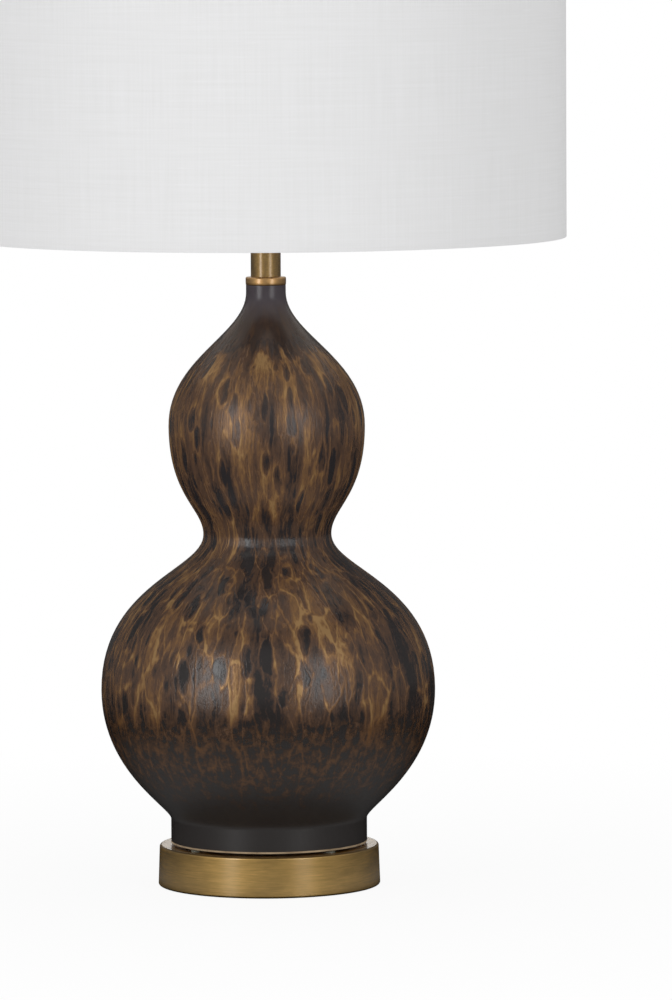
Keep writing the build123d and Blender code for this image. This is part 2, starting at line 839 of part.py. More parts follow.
def spider_arms():
    """Three wires from the upper hoop, stepped down to the washer and coped to both."""
    ring_height = shade_top - linen_thickness - ring_wire_radius
    washer_height = seat_top + washer_thickness / 2
    route = FilletPolyline(
        (washer_radius - washer_thickness, 0, washer_height),
        (spider_slope_start, 0, washer_height),
        (spider_slope_end, 0, ring_height),
        (ring_radius(), 0, ring_height),
        radius=spider_bend_radius,
    )
    section = Plane((washer_radius - washer_thickness, 0, washer_height), z_dir=(1, 0, 0)) * Circle(
        ring_wire_radius
    )
    arm = sweep(section, path=route)
    arm -= round_bar(washer_radius, washer_height - washer_radius, washer_height + washer_radius)
    arm -= shade_top_ring()
    arm = arm.solids().sort_by(SortBy.VOLUME)[-1]
    return Compound(children=[Rot(0, 0, angle) * arm for angle in arm_angles()])


def finial():
    """Turned knob that screws down on the post and clamps the spider's washer."""
    neck_top = washer_top + finial_foot_height + finial_neck_height
    ball_middle = neck_top + finial_ball_radius - finial_neck_radius / 3
    bore_top = seat_top + stud_post_height + finial_bore_spare
    foot = turned(
        (0, washer_top, 0),
        (finial_foot_radius, washer_top, 0),
        (finial_foot_radius, washer_top + finial_foot_height, finial_foot_height / 3),
        (finial_neck_radius, washer_top + finial_foot_height, 0),
        (finial_neck_radius, ball_middle, 0),
        (0, ball_middle, 0),
    )
    ball = Pos(0, 0, ball_middle) * Sphere(finial_ball_radius)
    return foot + ball - round_bar(stud_post_radius + running_gap, washer_top, bore_top)


# ---------------------------------------------------------------- write the nodes

nodes = {
    "base_pad": base_pad(),
    "base_cover": base_cover(),
    "base_weight": base_weight(),
    "base_shell": base_shell(),
    "cord_grommet": cord_grommet(),
    "threaded_pipe": threaded_pipe(),
    "pipe_nut": hex_nut(rod_nut_bottom, nut_height),
    "lock_washer": lock_washer(),
    "plate_washer": plate_washer(),
    "foot_pads": foot_pads(),
    "gourd_body": gourd_body(),
    "neck_collar": neck_collar(),
    "neck_tube": neck_tube(),
    "tube_cap": tube_cap(),
    "harp_saddle": harp_saddle(),
    "saddle_nut": hex_nut(saddle_top, saddle_nut_height),
    "harp": harp(),
    "harp_sleeve_front": harp_sleeve(-1),
    "harp_sleeve_rear": harp_sleeve(1),
    "harp_stud": harp_stud(),
    "socket_cap": socket_cap(),
    "cap_set_screw": cap_set_screw(),
    "socket_shell": socket_shell(),
    "socket_liner": socket_liner(),
    "socket_core": socket_core(),
    "terminal_screws": terminal_screws(),
    "screw_shell": screw_shell(),
    "centre_contact": centre_contact(),
    "switch_spindle": switch_spindle(),
    "switch_knob": switch_knob(),
    "bulb_eyelet": bulb_eyelet(),
    "bulb_insulator": bulb_insulator(),
    "bulb_cap": bulb_cap(),
    "bulb_glass": bulb_glass(),
    "shade_linen": shade_linen(),
    "shade_liner": shade_liner(),
    "shade_top_ring": shade_top_ring(),
    "shade_bottom_ring": shade_bottom_ring(),
    "spider_arms": spider_arms(),
    "spider_washer": spider_washer(),
    "finial": finial(),
}

os.makedirs("parts", exist_ok=True)
for name, shape in nodes.items():
    export_step(shape, "parts/" + name + ".step")
    print(name, round(shape.volume), "mm3")
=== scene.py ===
# %% [markdown]
# # A double gourd table lamp
# The lamp is a glazed stoneware gourd clamped on a brass base by a threaded pipe, with a brass
# neck, a wire harp, a screw bulb and a white linen drum shade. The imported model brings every
# piece at its real size. This script gives each one its finish, and makes again, with finer
# meshes, the pieces whose surface carries the looks: glaze, spun brass, cloth, threads.

# %% Load the fixed frame
from math import atan, atan2, cos, pi, radians, sin

import bmesh
import bpy
from mathutils import Matrix, Vector, noise


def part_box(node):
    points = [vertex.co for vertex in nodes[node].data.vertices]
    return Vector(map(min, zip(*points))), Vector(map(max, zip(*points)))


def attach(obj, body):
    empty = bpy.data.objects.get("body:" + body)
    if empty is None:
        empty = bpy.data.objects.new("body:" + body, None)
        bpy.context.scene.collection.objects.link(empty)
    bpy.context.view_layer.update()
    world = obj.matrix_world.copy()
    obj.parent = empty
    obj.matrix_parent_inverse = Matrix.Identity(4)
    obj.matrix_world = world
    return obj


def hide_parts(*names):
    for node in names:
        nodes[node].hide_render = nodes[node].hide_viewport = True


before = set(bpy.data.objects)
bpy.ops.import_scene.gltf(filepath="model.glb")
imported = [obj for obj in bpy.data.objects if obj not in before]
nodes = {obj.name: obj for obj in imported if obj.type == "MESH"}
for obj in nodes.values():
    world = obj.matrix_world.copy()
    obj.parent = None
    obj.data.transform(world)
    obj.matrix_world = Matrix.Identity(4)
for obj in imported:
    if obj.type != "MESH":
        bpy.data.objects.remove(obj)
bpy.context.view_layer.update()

scene = bpy.context.scene
mm = 0.001

# %% [markdown]
# ## The camera
# The picture was taken from almost 4.8 m away, a little above the lamp's middle, looking down
# by five degrees. That follows from two ellipses: the rim of the shade and the foot of the
# base. The lens is given as pixels of focal length for a frame that is 1000 pixels high, and
# turned into millimetres for Blender's 36 mm sensor. The lamp stands left of the middle of the
# frame, so the camera is turned to the right by that much instead of shifting its lens. The
# gourd in the picture leans a little, and a small roll of the camera meets it halfway.

# %% Camera
image_width, image_height = 672, 1000
focal_pixels = 7070.0
lamp_axis_column = 266.9
camera_distance = 4.772
camera_height = 0.677
camera_pitch = radians(4.97)
camera_roll = radians(-0.3)

camera_data = bpy.data.cameras.new("camera")
camera_data.sensor_fit = "VERTICAL"
camera_data.sensor_height = 36.0
camera_data.lens = 36.0 * focal_pixels / image_height
camera_data.clip_end = 100.0
camera = bpy.data.objects.new("camera", camera_data)
scene.collection.objects.link(camera)
scene.camera = camera
camera_yaw = atan((image_width / 2 - lamp_axis_column) / focal_pixels)
camera.matrix_world = (
    Matrix.Translation((0, -camera_distance, camera_height))
    @ Matrix.Rotation(-camera_yaw, 4, "Z")
    @ Matrix.Rotation(pi / 2 - camera_pitch, 4, "X")
    @ Matrix.Rotation(camera_roll, 4, "Z")
)
print("lens in mm:", round(camera_data.lens, 1))

# %% [markdown]
# ## Helpers for materials
# Colours are written as the hex values that a colour picker shows. Blender's shaders work in
# linear light, so one function turns hex into linear. One more adds a node, sets its options,
# fills its inputs and links what comes from other nodes. The short functions after it make the
# nodes that the materials below use again and again.

# %% Colour and node helpers
def linear(hex_colour):
    """Linear red, green, blue and alpha of an sRGB hex colour such as #C2A576."""
    parts = [int(hex_colour[place:place + 2], 16) / 255 for place in (1, 3, 5)]
    return [c / 12.92 if c <= 0.04045 else ((c + 0.055) / 1.055) ** 2.4 for c in parts] + [1.0]


def add(tree, kind, inputs=None, **settings):
    """Adds a node. An input is a number, a vector, a hex colour, a socket or a node, whose first
    output is then used."""
    made = tree.nodes.new("ShaderNode" + kind)
    for name, value in settings.items():
        setattr(made, name, value)
    for name, value in (inputs or {}).items():
        if isinstance(value, bpy.types.Node):
            value = value.outputs[0]
        if isinstance(value, bpy.types.NodeSocket):
            tree.links.new(value, made.inputs[name])
        else:
            made.inputs[name].default_value = linear(value) if isinstance(value, str) else value
    return made


def new_material(name, **inputs):
    """A material with one Principled shader whose constant inputs are given by name."""
    made = bpy.data.materials.new(name)
    made.use_nodes = True
    shader = made.node_tree.nodes["Principled BSDF"]
    for key, value in inputs.items():
        shader.inputs[key.replace("_", " ")].default_value = value
    return made, made.node_tree, shader


def plug(source, shader, name):
    """Links a node's first output, or a socket, to an input of the shader."""
    if isinstance(source, bpy.types.Node):
        source = source.outputs[0]
    shader.id_data.links.new(source, shader.inputs[name])


def emboss(shader, height, depth, strength=1.0):
    """Bumps the surface: where the height is 1 it rises by this many millimetres."""
    bump = add(shader.id_data, "Bump", {"Height": height, "Strength": strength, "Distance": depth * mm})
    plug(bump, shader, "Normal")


def ramp(tree, value, *stops):
    """A colour ramp on a value. Each stop is a position and a hex colour."""
    made = add(tree, "ValToRGB", {"Fac": value})
    elements = made.color_ramp.elements
    while len(elements) < len(stops):
        elements.new(1.0)
    for element, (position, colour) in zip(elements, stops):
        element.position = position
        element.color = linear(colour)
    return made


def maths(tree, operation, first, second=0.5, third=0.5, clamp=False):
    """One arithmetic node on numbers, sockets or nodes."""
    return add(tree, "Math", {0: first, 1: second, 2: third}, operation=operation, use_clamp=clamp)


def remap(tree, value, low, high, to_low=0.0, to_high=1.0):
    """Maps a value from one range to another, held at both ends."""
    return add(tree, "MapRange", {"Value": value, "From Min": low, "From Max": high,
                                  "To Min": to_low, "To Max": to_high})


def times(tree, vector, factors):
    """A vector whose three numbers are each multiplied by a factor."""
    return add(tree, "VectorMath", {0: vector, 1: factors}, operation="MULTIPLY")


def noise_at(tree, place, detail=2.0, roughness=0.5, scale=1.0):
    """Noise. Either the place is measured in features, or the scale says how many fit in a metre."""
    return add(tree, "TexNoise", {"Vector": place, "Scale": scale, "Detail": detail,
                                  "Roughness": roughness})


def layer(tree, factor, under, over):
    """The colour over covers the colour under as far as the factor says."""
    return add(tree, "Mix", {"Factor": factor, 6: under, 7: over}, data_type="RGBA").outputs["Result"]


print("brass picked as #C2A576 is linear", [round(c, 3) for c in linear("#C2A576")])

# %% [markdown]
# ## Turning a piece
# Most of this lamp is round: it was thrown, spun or turned. In Blender such a piece is half an
# outline swept once around the axis. The outline is a short chain of points. A corner is
# rounded by bevelling its point while the outline is still a bare wire, which keeps the
# rounding exact, and then the spin operator sweeps it. Each point remembers how far along the
# outline it lies. Together with its direction from the axis that gives a coordinate that runs
# round the piece without a seam, and the patterns below use it as brush marks and drips.

# %% Helpers for turned pieces
fine_steps = 256  # steps round the widest pieces


def outline_mesh(corners, closed=True, segments=5):
    """A bmesh that holds an outline as a wire: each corner is radius, height and rounding in mm."""
    bm = bmesh.new()
    run = bm.verts.layers.float.new("run")
    chain = [bm.verts.new((corner[0] * mm, 0, corner[1] * mm)) for corner in corners]
    pairs = list(zip(chain, chain[1:]))
    if closed:
        pairs.append((chain[-1], chain[0]))
    for pair in pairs:
        bm.edges.new(pair)
    for vertex, corner in zip(chain, corners):
        if len(corner) > 2 and corner[2]:
            bmesh.ops.bevel(bm, geom=[vertex], offset=corner[2] * mm, offset_type="OFFSET",
                            affect="VERTICES", segments=segments, profile=0.5, material=-1)
    first, second = (Vector((corner[0] * mm, 0, corner[1] * mm)) for corner in corners[:2])
    ends = [v for v in bm.verts if len(v.link_edges) == 1]
    here = min(ends or bm.verts, key=lambda v: (v.co - first).length)
    travelled, seen = 0.0, {here}
    while here:
        here[run] = travelled
        onward = [edge.other_vert(here) for edge in here.link_edges]
        onward = [v for v in onward if v not in seen]
        step = min(onward, key=lambda v: (v.co - second).length) if onward else None
        if step:
            travelled += (step.co - here.co).length
            seen.add(step)
        here = step
    return bm


def spin(bm, geom, angle, steps, climb=0.0, merge=False):
    """Sweeps geometry round the Z axis. Where it climbs, each step is a little higher."""
    bmesh.ops.spin(bm, geom=geom, cent=(0, 0, 0), axis=(0, 0, 1), dvec=(0, 0, climb), angle=angle,
                   steps=steps, use_merge=merge, use_normal_flip=False, use_duplicate=False)


def sweep_round(bm, steps):
    """Spins the outline in a bmesh once round the Z axis, closes it and points its faces out."""
    spin(bm, bm.verts[:] + bm.edges[:], 2 * pi, steps, merge=True)
    bmesh.ops.remove_doubles(bm, verts=bm.verts, dist=0.001 * mm)
    bmesh.ops.recalc_face_normals(bm, faces=bm.faces)


def mark_lathe(bm):
    """Writes the seamless lathe coordinate: direction from the axis, and run along the outline."""
    run = bm.verts.layers.float["run"]
    lathe = bm.verts.layers.float_vector.new("lathe")
    for vertex in bm.verts:
        radius = max((vertex.co.x ** 2 + vertex.co.y ** 2) ** 0.5, 1e-6)
        vertex[lathe] = (vertex.co.x / radius, vertex.co.y / radius, vertex[run])


def turned(corners, steps=96, closed=True, segments=5):
    """A turned solid as a bmesh: outline, spin and lathe coordinate in one go."""
    bm = outline_mesh(corners, closed, segments)
    sweep_round(bm, steps)
    mark_lathe(bm)
    return bm


def as_object(bm, name, *materials):
    """Turns the bmesh into an object with these materials."""
    mesh = bpy.data.meshes.new(name)
    bm.to_mesh(mesh)
    bm.free()
    for material in materials:
        mesh.materials.append(material)
    made = bpy.data.objects.new(name, mesh)
    scene.collection.objects.link(made)
    return made


def as_piece(bm, name, material, body, stands_for=(), crease=35, flat_faces=True):
    """Makes the bmesh a finished piece that rides on a body and may stand for CAD nodes. Weighted
    normals keep the wide faces next to a small rounding looking flat."""
    made = as_object(bm, name, *(material if isinstance(material, list) else [material]))
    mesh = made.data
    mesh.shade_smooth()
    mesh.set_sharp_from_angle(angle=radians(crease))
    if flat_faces:
        made.modifiers.new("weighted_normals", "WEIGHTED_NORMAL").keep_sharp = True
    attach(made, body)
    if stands_for:
        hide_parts(*stands_for)
    print(name, len(mesh.polygons), "faces")
    return made


# %% [markdown]
# ## Floor, world and studio
# The lamp stands on a pale floor that runs out to white. For camera, glossy and transmission
# rays world and floor are plain white, and for the light that falls on the lamp they are a soft
# grey sky and a board that takes a faint shadow. A photographer keeps the room dark around shiny
# metal, or its edges vanish: grey flats stand in a ring around the lamp, seen only in reflections.

# %% Floor and world
floor_radius = 14.0
shadow_near, shadow_far, shadow_level = 0.16, 0.75, 0.93
ambient_level = 0.60


def seen_directly(tree):
    """One for camera, glossy and transmission rays, zero for the light that falls on the lamp."""
    ray = add(tree, "LightPath")
    seen = maths(tree, "MAXIMUM", ray.outputs["Is Camera Ray"], ray.outputs["Is Glossy Ray"])
    return maths(tree, "MAXIMUM", seen, ray.outputs["Is Transmission Ray"])


def empty_material(name):
    """A material whose node tree is empty."""
    made = bpy.data.materials.new(name)
    made.use_nodes = True
    made.node_tree.nodes.clear()
    return made, made.node_tree


light_world = bpy.data.worlds.new("studio_world")
scene.world = light_world
light_world.use_nodes = True
tree = light_world.node_tree
tree.nodes.clear()
sky = add(tree, "Background", {"Color": "#FFFFFF", "Strength": ambient_level})
white = add(tree, "Background", {"Color": "#FFFFFF", "Strength": 1.0})
world_mix = add(tree, "MixShader", {"Fac": seen_directly(tree), 1: sky, 2: white})
add(tree, "OutputWorld", {"Surface": world_mix})

floor_material, tree = empty_material("pale_floor")
place = add(tree, "TexCoord").outputs["Object"]
distance = add(tree, "VectorMath", {0: place}, operation="LENGTH").outputs["Value"]
fade = remap(tree, distance, shadow_near, shadow_far, shadow_level, 1.0)
glow = maths(tree, "MULTIPLY", seen_directly(tree), fade)
board = add(tree, "BsdfDiffuse", {"Color": "#F4F4F4"})
lit = add(tree, "Emission", {"Color": "#FFFFFF", "Strength": 1.0})
floor_mix = add(tree, "MixShader", {"Fac": glow, 1: board, 2: lit})
add(tree, "OutputMaterial", {"Surface": floor_mix})

bm = bmesh.new()
bmesh.ops.create_circle(bm, cap_ends=True, segments=96, radius=floor_radius)
as_object(bm, "floor", floor_material)
print("floor radius in m:", floor_radius)

# %% [markdown]
# Two tall soft boxes light the lamp, as the two upright highlights on the glaze show: the
# brighter one forty degrees to the left of the camera, the weaker one almost as far to the
# right. A panel's power is worked out from how bright it looks, because that is what a
# reflection of it shows. The flats are one turned card: a disc on the table, a wall and a roof,
# open over six degrees behind the lamp, where the white backdrop shows. They get darker towards
# the back, and a black ring round the foot of the base is a painted shadow on the table, which
# keeps the white floor out of the reflection in its hem.

# %% Lamps and grey flats
def soft_box(name, azimuth, distance, height, width, tall, radiance):
    """A rectangular area lamp that looks at the lamp's middle. Azimuth 0 is the camera's side."""
    data = bpy.data.lights.new(name, "AREA")
    data.shape = "RECTANGLE"
    data.size, data.size_y = width, tall
    data.energy = radiance * pi * width * tall
    made = bpy.data.objects.new(name, data)
    scene.collection.objects.link(made)
    angle = radians(azimuth)
    spot = Vector((sin(angle) * distance, -cos(angle) * distance, height))
    aim = Vector((0, 0, height)) - spot
    made.matrix_world = Matrix.Translation(spot) @ aim.to_track_quat("-Z", "Y").to_matrix().to_4x4()
    return made


key_box = soft_box("key_box", -40, 2.4, 0.85, 0.56, 1.8, 3.6)
soft_box("fill_box", 36, 2.5, 0.85, 0.66, 1.8, 2.35)

backdrop_opening = 6.0  # degrees
card_start, card_reach, card_height, roof_start, card_lift = 71, 3000, 3300, 350, 0.2  # mm
bm = outline_mesh([(card_start, card_lift), (card_reach, card_lift), (card_reach, card_height),
                   (roof_start, card_height)], closed=False)
turn_to_start = Matrix.Rotation(radians(90 + backdrop_opening / 2), 3, "Z")
bmesh.ops.rotate(bm, verts=bm.verts, cent=(0, 0, 0), matrix=turn_to_start)
spin(bm, bm.verts[:] + bm.edges[:], radians(360 - backdrop_opening), 66)

flat_material, tree = empty_material("grey_card")
sideways = times(tree, add(tree, "TexCoord").outputs["Object"], (1, 1, 0))
heading = add(tree, "VectorMath", {0: sideways}, operation="NORMALIZE")
behind = add(tree, "SeparateXYZ", {0: heading}).outputs["Y"]
reach = add(tree, "VectorMath", {0: sideways}, operation="LENGTH").outputs["Value"]
reach = remap(tree, reach, 0.0, card_reach * mm)
level = remap(tree, behind, -0.50, 0.80, 0.30, remap(tree, reach, 0.13, 0.30, 0.01, 0.08))
# painted shadow: the table part of the card is black in a ring round the base's foot, where the lamp
# shades the table
table_and_painted_shadow = ramp(tree, reach, (0.026, "#101010"), (0.036, "#FFFFFF"), (0.06, "#FFFFFF"),
             (0.13, "#808080"), (0.90, "#808080"), (1.00, "#FFFFFF"))
card = add(tree, "Emission", {"Color": "#FFFFFF", "Strength": maths(tree, "MULTIPLY", level, table_and_painted_shadow)})
add(tree, "OutputMaterial", {"Surface": card})

flats = as_object(bm, "grey_flats", flat_material)
for ray_kind in ("camera", "diffuse", "transmission", "shadow", "volume_scatter"):
    setattr(flats, "visible_" + ray_kind, False)
scene.view_settings.view_transform = "Standard"
print("key power in W:", round(key_box.data.energy, 1))

# %% [markdown]
# ## Brushed antique brass
# The base, the neck tube, the collar and the finial are brass with a brown antique lacquer,
# brushed on a lathe. Brush marks run round the piece, so they change quickly along the outline
# and slowly around the axis. That is a noise whose coordinate is stretched in that way. It
# moves the colour, the roughness and a very small bump. Real marks are about 0.1 mm wide; they
# are drawn 0.8 mm wide here, which is the finest that shows at this distance.

# %% Brushed brass
def brushed_brass(name, colour, dark_colour, roughness=0.40):
    """Lathe-brushed brass under lacquer. Around the axis, marks and stains count per radian."""
    mark_width, marks_around, stain_width, stains_around = 0.8 * mm, 5.0, 14 * mm, 2.2
    made, tree, shader = new_material(name, Metallic=1.0, Anisotropic=0.5, Coat_Weight=1.0, Coat_IOR=1.9)
    lathe = add(tree, "Attribute", attribute_name="lathe").outputs["Vector"]
    marks = noise_at(tree, times(tree, lathe, (marks_around, marks_around, 1 / mark_width)), 3.0, 0.6)
    stain = noise_at(tree, times(tree, lathe, (stains_around, stains_around, 1 / stain_width)), 4.0, 0.55)
    both = remap(tree, maths(tree, "MULTIPLY", marks, stain), 0.12, 0.42)
    tone = ramp(tree, both, (0.0, dark_colour), (1.0, colour))
    plug(tone, shader, "Base Color")
    plug(remap(tree, marks, 0.3, 0.7, roughness - 0.07, roughness + 0.08), shader, "Roughness")
    plug(remap(tree, marks, 0.3, 0.7, 0.20, 0.27), shader, "Coat Roughness")
    emboss(shader, marks, 0.03, 0.25)
    plug(add(tree, "Tangent", direction_type="RADIAL", axis="Z"), shader, "Tangent")
    return made


antique_brass = brushed_brass("brass_brushed_antique", "#F0C067", "#C39B4B")
# the tube is the same antique brass as the base; this copy is darker, painted shade that tones down the
# lamp shade's bright reflection in it
tube_brass_painted_darker = brushed_brass("brass_brushed_tube_painted_shade", "#CCA254", "#A07B3A")
collar_brass = brushed_brass("brass_turned_bright", "#F8C478", "#DAA257", roughness=0.38)
print("brass materials:", antique_brass.name, collar_brass.name)

# %% [markdown]
# ## The spun base
# The base is a brass sheet spun over a form into a shallow cup, with a soft top lip and a thick
# rolled hem that hides the weight inside. Its outline is taken from the CAD piece's own box, so
# it stands exactly where that piece stands.

# %% Base shell
base_low, base_high = (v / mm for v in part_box("base_shell"))
base_draft, base_wall, hem_width, lip_round = 1.0, 1.5, 3.0, 1.4
pipe_hole = 5.25
hem_top = base_low.z + hem_width
top_radius = base_high.x - base_draft

base_outline = [
    (pipe_hole, base_high.z, 0), (top_radius, base_high.z, lip_round),
    (base_high.x, base_low.z, lip_round), (base_high.x - hem_width, base_low.z, lip_round),
    (base_high.x - hem_width, hem_top, 0), (base_high.x - base_wall, hem_top, 0),
    (top_radius - base_wall, base_high.z - base_wall, 0), (pipe_hole, base_high.z - base_wall, 0),
]
base_bm = outline_mesh(base_outline, segments=6)
sweep_round(base_bm, fine_steps)
print("base shell turned,", len(base_bm.faces), "faces")

# %% [markdown]
# The cord leaves through a hole in the back wall. The wall is a row of tall faces, so eight of
# them are taken out of its outer and inner side, each gap is bridged to a ring of points that
# lies on that side, and the two rings are bridged through the thickness.

# %% Cord hole
cord_hole_radius, cord_hole_height, window_columns = 4.65, 12.0, 8
tall_face = 15.0  # mm; only the faces of the wall are taller


def open_window(bm, outward):
    """Takes the tall faces round the cord out of one side of the wall and leads them to a ring."""
    run = bm.verts.layers.float["run"]
    half = base_high.x * sin(pi * window_columns / fine_steps) * mm
    window = set()
    for face in bm.faces:
        middle = face.calc_center_median()
        tall = max(v.co.z for v in face.verts) - min(v.co.z for v in face.verts) > tall_face * mm
        if tall and middle.y > 0 and abs(middle.x) < half and (face.normal.y > 0) == outward:
            window.add(face)
    border = {edge for face in window for edge in face.edges
              if not window.issuperset(edge.link_faces)}
    bmesh.ops.delete(bm, geom=list(window), context="FACES")
    rim = [edge for edge in bm.edges if edge in border]
    corners = sorted({vertex for edge in rim for vertex in edge.verts}, key=lambda v: v.co.z)
    low_end, high_end = corners[0], corners[-1]
    low_z, low_run, low_r = low_end.co.z, low_end[run], low_end.co.xy.length
    high_z, high_run, high_r = high_end.co.z, high_end[run], high_end.co.xy.length
    upright = Matrix.Translation((0, 0, cord_hole_height * mm)) @ Matrix.Rotation(pi / 2, 4, "X")
    ring = bmesh.ops.create_circle(bm, cap_ends=False, segments=len(rim), matrix=upright,
                                   radius=cord_hole_radius * mm)["verts"]
    for vertex in ring:
        share = (vertex.co.z - low_z) / (high_z - low_z)
        reach = low_r + (high_r - low_r) * share
        vertex.co.y = (reach ** 2 - vertex.co.x ** 2) ** 0.5
        vertex[run] = low_run + (high_run - low_run) * share
    ring_edges = list({edge for vertex in ring for edge in vertex.link_edges})
    bmesh.ops.bridge_loops(bm, edges=rim + ring_edges)
    return ring_edges


outer_ring, inner_ring = open_window(base_bm, True), open_window(base_bm, False)
bmesh.ops.bridge_loops(base_bm, edges=outer_ring + inner_ring)
bmesh.ops.recalc_face_normals(base_bm, faces=base_bm.faces)
mark_lathe(base_bm)
print("open edges left:", len([edge for edge in base_bm.edges if edge.is_boundary]))
as_piece(base_bm, "spun_base", antique_brass, "root", ["base_shell"])

# %% [markdown]
# ## The gourd's outline
# A gourd has no straight lines: its wall swings from belly to waist and back in long S-curves.
# Four places matter, and at each the wall stands upright: the two bellies, the waist and the
# neck. A Bezier curve with upright handles at these places draws the whole side. How far each
# handle reaches sets how full the curve is there. Blender turns the curve into a chain of points.

# %% Gourd outline
gourd_wall = 6.5
gourd_stations = [  # radius, height, handle down, handle up, in mm
    (66.6, 29.6, 0, 0), (66.6, 45.6, 0, 8.2), (113.3, 133.6, 55.5, 72.0), (43.4, 239.2, 24.6, 18.0),
    (66.5, 313.0, 48.0, 46.0), (13.45, 403.3, 28.5, 0), (13.45, 408.3, 0, 0),
]
mouth_radius, floor_hole_radius, foot_recess = 8.0, 6.5, 5.0


def upright_curve(stations, resolution):
    """Points of a Bezier wall that stands upright at each station, as radius and height in mm."""
    data = bpy.data.curves.new("wall_line", "CURVE")
    data.dimensions = "3D"
    spline = data.splines.new("BEZIER")
    spline.bezier_points.add(len(stations) - 1)
    spline.resolution_u = resolution
    for point, (radius, height, down, up) in zip(spline.bezier_points, stations):
        point.handle_left_type = point.handle_right_type = "FREE"
        point.co = (radius, 0, height)
        point.handle_left = (radius, 0, height - down)
        point.handle_right = (radius, 0, height + up)
    holder = bpy.data.objects.new("wall_line", data)
    line = bpy.data.meshes.new_from_object(holder)
    points = [(v.co.x, v.co.z) for v in line.vertices]
    bpy.data.objects.remove(holder)
    bpy.data.meshes.remove(line)
    return points


outer_wall = upright_curve(gourd_stations, 30)
inner_stations = [(max(r - gourd_wall, mouth_radius), *rest) for r, *rest in gourd_stations[1:]]
inner_wall = upright_curve(inner_stations, 8)
print("outer wall", len(outer_wall), "points, inner wall", len(inner_wall))

# %% [markdown]
# ## Stoneware and its drip glaze
# The gourd is stoneware under two glazes. A satin black goes on first. A second, iron-rich glaze
# is sprayed over it, and in the kiln it runs: a brown wash with golden threads parts around
# elongated black drops, and it pools in a mottled, rusty belt where it stops above the foot. All
# of it uses one flow coordinate, which is round the axis in x and y and down the wall in z, so
# every run follows the wall. One noise stretched eight times down the wall is the wash. The
# places where a second one passes its middle value are thin winding lines: the threads. The
# borders of long Voronoi cells are the veins, a net that shows most on the lower belly. A second
# Voronoi texture gives the drops, each with a bright rim where the runs press together around
# it, and a third one small specks.

